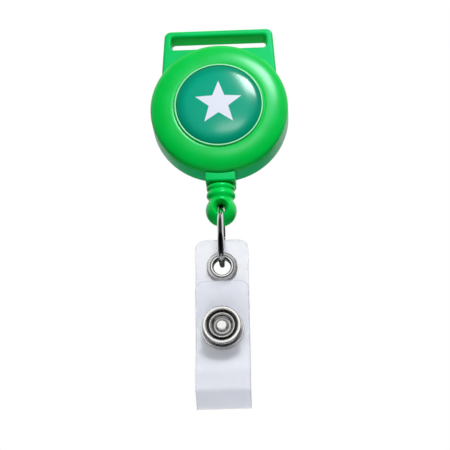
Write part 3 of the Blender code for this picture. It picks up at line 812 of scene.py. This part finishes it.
def vinyl_strap():
    """One die-cut strip with rounded ends and three holes, bent along the strap's path."""
    path = strap_path()
    lengths = [0.0]
    for first, second in zip(path, path[1:]):
        lengths.append(lengths[-1] + (second - first).length)
    total = lengths[-1]
    strip = flat_block(total)
    outline = rectangle(-STRAP_HALF, STRAP_HALF, 0, total, STRAP_CORNER, 12)
    combined(strip, loft("outline", [(outline, -2), (outline, 2)], Vector((0, 0, 0))),
             "INTERSECT")
    back_top, flap_top = path[0].y, path[-1].y
    eyelet_at, snap_at = EYELET.z - FOLD.z, SNAP.z - FOLD.z
    for along, radius in ((back_top - eyelet_at, 2.6), (back_top - snap_at, 0.9),
                          (total - (flap_top - snap_at), 3.0)):
        hole = turned("hole", [(0, 2), (radius, 2), (radius, -2), (0, -2)], 64,
                      Vector((0, 0, along)))
        combined(strip, hole, "DIFFERENCE")
    bevelled(strip, 0.08, 2, angle=60)
    flat = strip.data.uv_layers.new(name="flat")
    for loop, uv in zip(strip.data.loops, flat.data):
        across, _, along = strip.data.vertices[loop.vertex_index].co / MM
        uv.uv = (across, along)
    bend(strip, path, lengths)
    piece(strip, vinyl("frosted_vinyl", total), None, "vinyl", "strap_back", "strap_flap",
          angle=30)
    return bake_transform(strip)


def flat_block(length):
    """A flat block, a little larger than the strip, in cells small enough to bend."""
    side_margin, end_margin, cell = 0.6, 0.5, 0.3
    wide, tall = STRAP_HALF + side_margin, length + 2 * end_margin
    columns, rows = 24, round(tall / cell)
    half = STRAP_THICKNESS / 2
    points = [(wide * (2 * column / columns - 1), face, -end_margin + tall * row / rows)
              for face in (-half, half) for row in range(rows + 1)
              for column in range(columns + 1)]

    def index(face, row, column):
        return (face * (rows + 1) + row) * (columns + 1) + column

    faces = [[index(face, row, column), index(face, row, column + 1),
              index(face, row + 1, column + 1), index(face, row + 1, column)]
             for row in range(rows) for column in range(columns) for face in (0, 1)]
    faces += [[index(0, row, column), index(0, row + 1, column),
               index(1, row + 1, column), index(1, row, column)]
              for row in range(rows) for column in (0, columns)]
    faces += [[index(0, row, column), index(0, row, column + 1),
               index(1, row, column + 1), index(1, row, column)]
              for column in range(columns) for row in (0, rows)]
    return mesh_object("vinyl_strap", points, faces)


def bend(strip, path, lengths):
    """Lay a flat strip along a path, whose points are at the given lengths."""
    for vertex in strip.data.vertices:
        across, thick, along = vertex.co / MM
        segment = max(i for i in range(len(lengths) - 1) if lengths[i] <= max(along, 0.0))
        share = (along - lengths[segment]) / (lengths[segment + 1] - lengths[segment])
        spot = path[segment].lerp(path[segment + 1], share)
        heading = tangent(path, segment).lerp(tangent(path, segment + 1),
                                              min(max(share, 0.0), 1.0)).normalized()
        side = Vector((-heading.y, heading.x)) * -thick
        vertex.co = Vector((across, -(spot.x + side.x), FOLD.z + spot.y + side.y)) * MM
    strip.data.update()


def tangent(path, index):
    """The path's direction at one of its points."""
    before = path[max(index - 1, 0)]
    after = path[min(index + 1, len(path) - 1)]
    return (after - before).normalized()


def eyelet():
    """Rolled eyelet through the strap's back layer, and its washer behind.

    Their corners are (radius, depth, rounding), like those of the snap's socket.
    """
    rolled = turned("eyelet", rounded([
        (2.0, 0.2, 0.1), (1.94, 0.72, 0.1), (2.18, 1.06, 0.05), (2.5, 1.1, 0.05),
        (2.54, 0.7, 0.03), (2.7, 0.7, 0.03), (2.76, 0.89, 0.05), (3.42, 0.73, 0.25),
        (3.5, 0.5, 0.06), (3.4, 0.44, 0.04), (2.9, 0.6, 0.2), (2.3, 0.5, 0.1), (2.3, -0.8, 0.1),
        (2.75, -0.98, 0.12), (2.85, -1.12, 0.06), (2.5, -1.16, 0.12), (1.95, -0.88, 0.25)],
        6), 160, EYELET)
    piece(rolled, EYELET_NICKEL, "strap", "nickel_sheet", "strap_eyelet", angle=60)
    washer = turned("eyelet_back_washer", rounded([
        (2.42, -0.5, 0.05), (3.5, -0.5, 0.08), (3.52, -0.72, 0.08), (3.1, -0.86, 0.1),
        (2.42, -0.86, 0.06)], 3), 96, EYELET)
    piece(washer, EYELET_NICKEL, "strap", "nickel_sheet", "eyelet_washer", angle=60)


def snap_cap():
    """The ring-shaped pressed cap, with the stud's ball in its middle.

    The crown's points are (radius, how far it is sunk below the cap's front).
    """
    front = -box_mm("snap_cap")[0].y
    crown = [(0, 0.4), (0.6, 0.41), (0.95, 0.44), (1.2, 0.5), (1.34, 0.62), (1.42, 0.78),
             (1.5, 0.88), (1.7, 0.87), (2.0, 0.78), (2.3, 0.64), (2.44, 0.52), (2.5, 0.34),
             (2.56, 0.24), (2.64, 0.2), (2.76, 0.2), (2.84, 0.24), (2.9, 0.36), (2.96, 0.9),
             (3.06, 1.28), (3.2, 1.34), (3.32, 1.2), (3.36, 0.7), (3.4, 0.28), (3.46, 0.12),
             (3.56, 0.05), (3.75, 0.01), (3.92, 0.0), (4.1, 0.01), (4.24, 0.05), (4.32, 0.12),
             (4.37, 0.24), (4.38, 0.38), (4.35, 0.54), (4.26, 0.72), (4.16, 0.9), (4.12, 1.6),
             (0, 1.6)]
    cap = turned("snap_pressed_cap", [(r, front - sunk) for r, sunk in crown], 128, SNAP)
    piece(cap, CAP_NICKEL, "flap", "nickel_sheet", "snap_cap", angle=45)


def snap_socket():
    """The stacked socket between the flap and the cap, with a groove for its wire loop."""
    base = FLAP_DEPTH + STRAP_THICKNESS / 2 + 0.3
    bore, groove = 2.3, 3.05
    socket = turned("snap_stacked_socket", rounded([
        (bore, base + 1.55, 0), (3.9, base + 1.55, 0.06), (4.0, base + 1.14, 0.08),
        (4.5, base + 1.12, 0.1), (4.62, base + 0.84, 0.12), (4.2, base + 0.66, 0.06),
        (4.22, base + 0.5, 0.06), (4.74, base + 0.45, 0.1), (4.86, base + 0.14, 0.12),
        (4.6, base - 0.22, 0.05), (bore, base - 0.22, 0), (bore, base + 0.45, 0),
        (groove, base + 0.45, 0), (groove, base + 1.1, 0), (bore, base + 1.1, 0)], 4), 128, SNAP)
    piece(socket, SOCKET_NICKEL, "flap", "nickel_sheet", "snap_socket", angle=40)


def snap_rivet():
    """The stud's rivet, with its low domed head behind the strap."""
    back = -STRAP_THICKNESS / 2 - 0.3
    rivet = turned("snap_stud_back", [
        (0, 2.0), (0.5, 2.0), (0.5, back + 0.25), (4.0, back + 0.25),
        *arc((4.0, back + 0.05), 0.2, 90, -60, 8), (3.7, back - 0.2), (3.2, back - 0.36),
        (2.4, back - 0.52), (1.4, back - 0.64), (0.6, back - 0.69), (0, back - 0.7)],
        96, SNAP)
    piece(rivet, SNAP_NICKEL, "strap", "nickel_sheet", "snap_stud_rivet", angle=45)


# --- CAD nodes kept as they are -----------------------------------------------------------
def dress_inner_nodes():
    """Materials for the CAD nodes that show as they are, or are mostly hidden."""
    finishes = {
        "label_disc": LABEL, "centre_pin": PIN_STEEL, "spool": NATURAL,
        "power_spring": SPRING_STEEL, "spring_retainer": NATURAL, "cord_run": BLACK_NYLON,
        "cord_knot": BLACK_NYLON, "snap_stud": SNAP_NICKEL, "snap_spring": SPRING_STEEL,
        "snap_rivet_ring": SNAP_NICKEL}
    for name, finish in finishes.items():
        dress(frame["nodes"][name], finish)


# --- Studio -------------------------------------------------------------------------------
FLOOR = -760.0          # below the strap when the cord is pulled right out
AIM = Vector((0, 0, -0.045))
STRAP = ("vinyl_strap",)
MOULDED = ("case_shell", "cover_dome", "resin_label", "stopper_bead")
SHEET_METAL = ("eyelet", "eyelet_back_washer", "snap_pressed_cap", "snap_stacked_socket")
LIGHTS = [      # name, place from AIM and size in metres, watts, in reflections, only for
    ("softbox", (0.149, -0.467, 0.390), (0.15, 0.15), 2.8, True, MOULDED),
    ("front_key", (-0.03, -0.52, 0.20), (0.30, 0.30), 1.05, False, MOULDED),
    ("top_panel", (0.0, -0.18, 0.60), (0.50, 0.40), 0.4, False, None),
    ("low_card", (0.034, -0.60, 0.16), (0.13, 0.07), 0.26, True, MOULDED),
    ("case_fill", (0.0, -0.05, -0.15), (0.20, 0.20), 0.13, False, MOULDED),
    ("back_fill", (0.0, 0.22, -0.14), (0.20, 0.20), 0.45, False, MOULDED),
    ("strap_key", (0.04, -0.25, 0.36), (0.12, 0.12), 1.9, False, STRAP),
    ("strap_front", (0.0, -0.45, 0.0), (0.30, 0.30), 0.56, False, STRAP),
    ("strap_fill", (0.0, -0.10, -0.145), (0.16, 0.10), 0.14, False, STRAP),
    ("metal_panel", (-0.08, -0.50, 0.20), (0.60, 0.50), 1.2, True, SHEET_METAL),
    ("metal_low", (0.0, -0.26, -0.13), (0.36, 0.14), 0.09, True, SHEET_METAL),
]


def surround():
    """A white backdrop for the camera, and round the object a white room, dark in front."""
    world = bpy.data.worlds.new("studio")
    bpy.context.scene.world = world
    world.use_nodes = True
    made = Nodes(world.node_tree)
    x, y, z = made.split(made.node("ShaderNodeTexCoord", output="Generated"))
    azimuth = made.maths("ARCTAN2", x, made.maths("MULTIPLY", y, -1.0))
    right = made.between(azimuth, math.radians(40), math.radians(95), 0.04, 1.0)
    left = made.between(made.maths("MULTIPLY", azimuth, -1.0),
                        math.radians(52), math.radians(100), 0.04, 0.9)
    overhead = made.between(z, 0.7, 0.98, 0.0, 0.15)
    around = made.maths("MAXIMUM", made.maths("MAXIMUM", right, left), overhead)
    level = made.between(z, -0.05, 0.2, 0.05, 1.0)
    room = world.node_tree.nodes["Background"]
    made.feed(room.inputs["Color"], (0.97, 1.0, 1.02, 1.0))
    made.feed(room.inputs["Strength"], made.maths("MULTIPLY", around, level))
    backdrop = made.node("ShaderNodeBackground", {"Color": (1.0, 1.0, 1.0, 1.0),
                                                  "Strength": 1.0})
    seen = made.node("ShaderNodeLightPath", output="Is Camera Ray")
    both = made.node("ShaderNodeMixShader", {0: seen, 1: room.outputs[0], 2: backdrop})
    made.feed(world.node_tree.nodes["World Output"].inputs["Surface"], both)


def pale_floor():
    """A plain floor, seen by the camera only, so that it doesn't light the object.

    Its own light keeps it pale where the lamps don't reach it.
    """
    reach = 1500
    floor = mesh_object("floor", [(-reach, -reach, FLOOR), (reach, -reach, FLOOR),
                                  (reach, reach, FLOOR), (-reach, reach, FLOOR)],
                        [[0, 1, 2, 3]])
    pale = Finish("floor_pale", Roughness=0.8, Specular_IOR_Level=0.1,
                  Emission_Color=(1.0, 1.0, 1.0, 1.0), Emission_Strength=0.45)
    pale.set(Base_Color=pale.mixed(pale.noise(60.0), (0.83, 0.83, 0.83), (0.86, 0.86, 0.86)))
    dress(floor, pale)
    floor.visible_diffuse = False
    floor.visible_glossy = False


def lamps():
    """Soft area lights that face AIM, some of them for one group of pieces only."""
    for name, place, size, power, reflected, only in LIGHTS:
        lamp = bpy.data.lights.new(name, "AREA")
        lamp.shape = "RECTANGLE"
        lamp.size, lamp.size_y = size
        lamp.energy = power
        lamp_object = bpy.data.objects.new(name, lamp)
        lamp_object.location = AIM + Vector(place)
        lamp_object.rotation_euler = Vector(place).to_track_quat("Z", "Y").to_euler()
        lamp_object.visible_camera = False
        lamp_object.visible_glossy = reflected
        bpy.context.scene.collection.objects.link(lamp_object)
        if only:
            lamp_object.light_linking.receiver_collection = only_lit("lit_" + only[0], only)


def only_lit(group_name, pieces):
    """A light-linking group, made once and shared by the lamps that are meant for it."""
    group = bpy.data.collections.get(group_name)
    if group is None:
        group = bpy.data.collections.new(group_name)
        for name in pieces:
            group.objects.link(bpy.data.objects[name])
    return group


def camera():
    """The photograph's view: from below and slightly to the right, through a long lens."""
    target = Vector((0.0008, 0, -0.0472))       # in metres, like the distance
    distance = 0.371
    elevation, azimuth, roll = (math.radians(a) for a in (-19.84, 2.5, -0.95))
    back = Vector((math.sin(azimuth) * math.cos(elevation),
                   -math.cos(azimuth) * math.cos(elevation), math.sin(elevation)))
    right = Vector((0, 0, 1)).cross(back).normalized()
    up = back.cross(right)
    rolled_right = right * math.cos(roll) + up * math.sin(roll)
    rolled_up = up * math.cos(roll) - right * math.sin(roll)
    lens = bpy.data.cameras.new("camera")
    lens.sensor_width = 36.0
    lens.lens = 130.2
    lens.clip_start = 0.01
    viewer = bpy.data.objects.new("camera", lens)
    turn = Matrix((rolled_right, rolled_up, back)).transposed()
    viewer.matrix_world = Matrix.Translation(target + back * distance) @ turn.to_4x4()
    bpy.context.scene.collection.objects.link(viewer)
    bpy.context.scene.camera = viewer
    bpy.context.scene.view_settings.view_transform = "Standard"


camera()
case_shell()
cover_dome()
resin_label()
cord_turns()
pull_cord()
stopper_bead()
wire_ring()
vinyl_strap()
eyelet()
snap_cap()
snap_socket()
snap_rivet()
dress_inner_nodes()
surround()
pale_floor()
lamps()
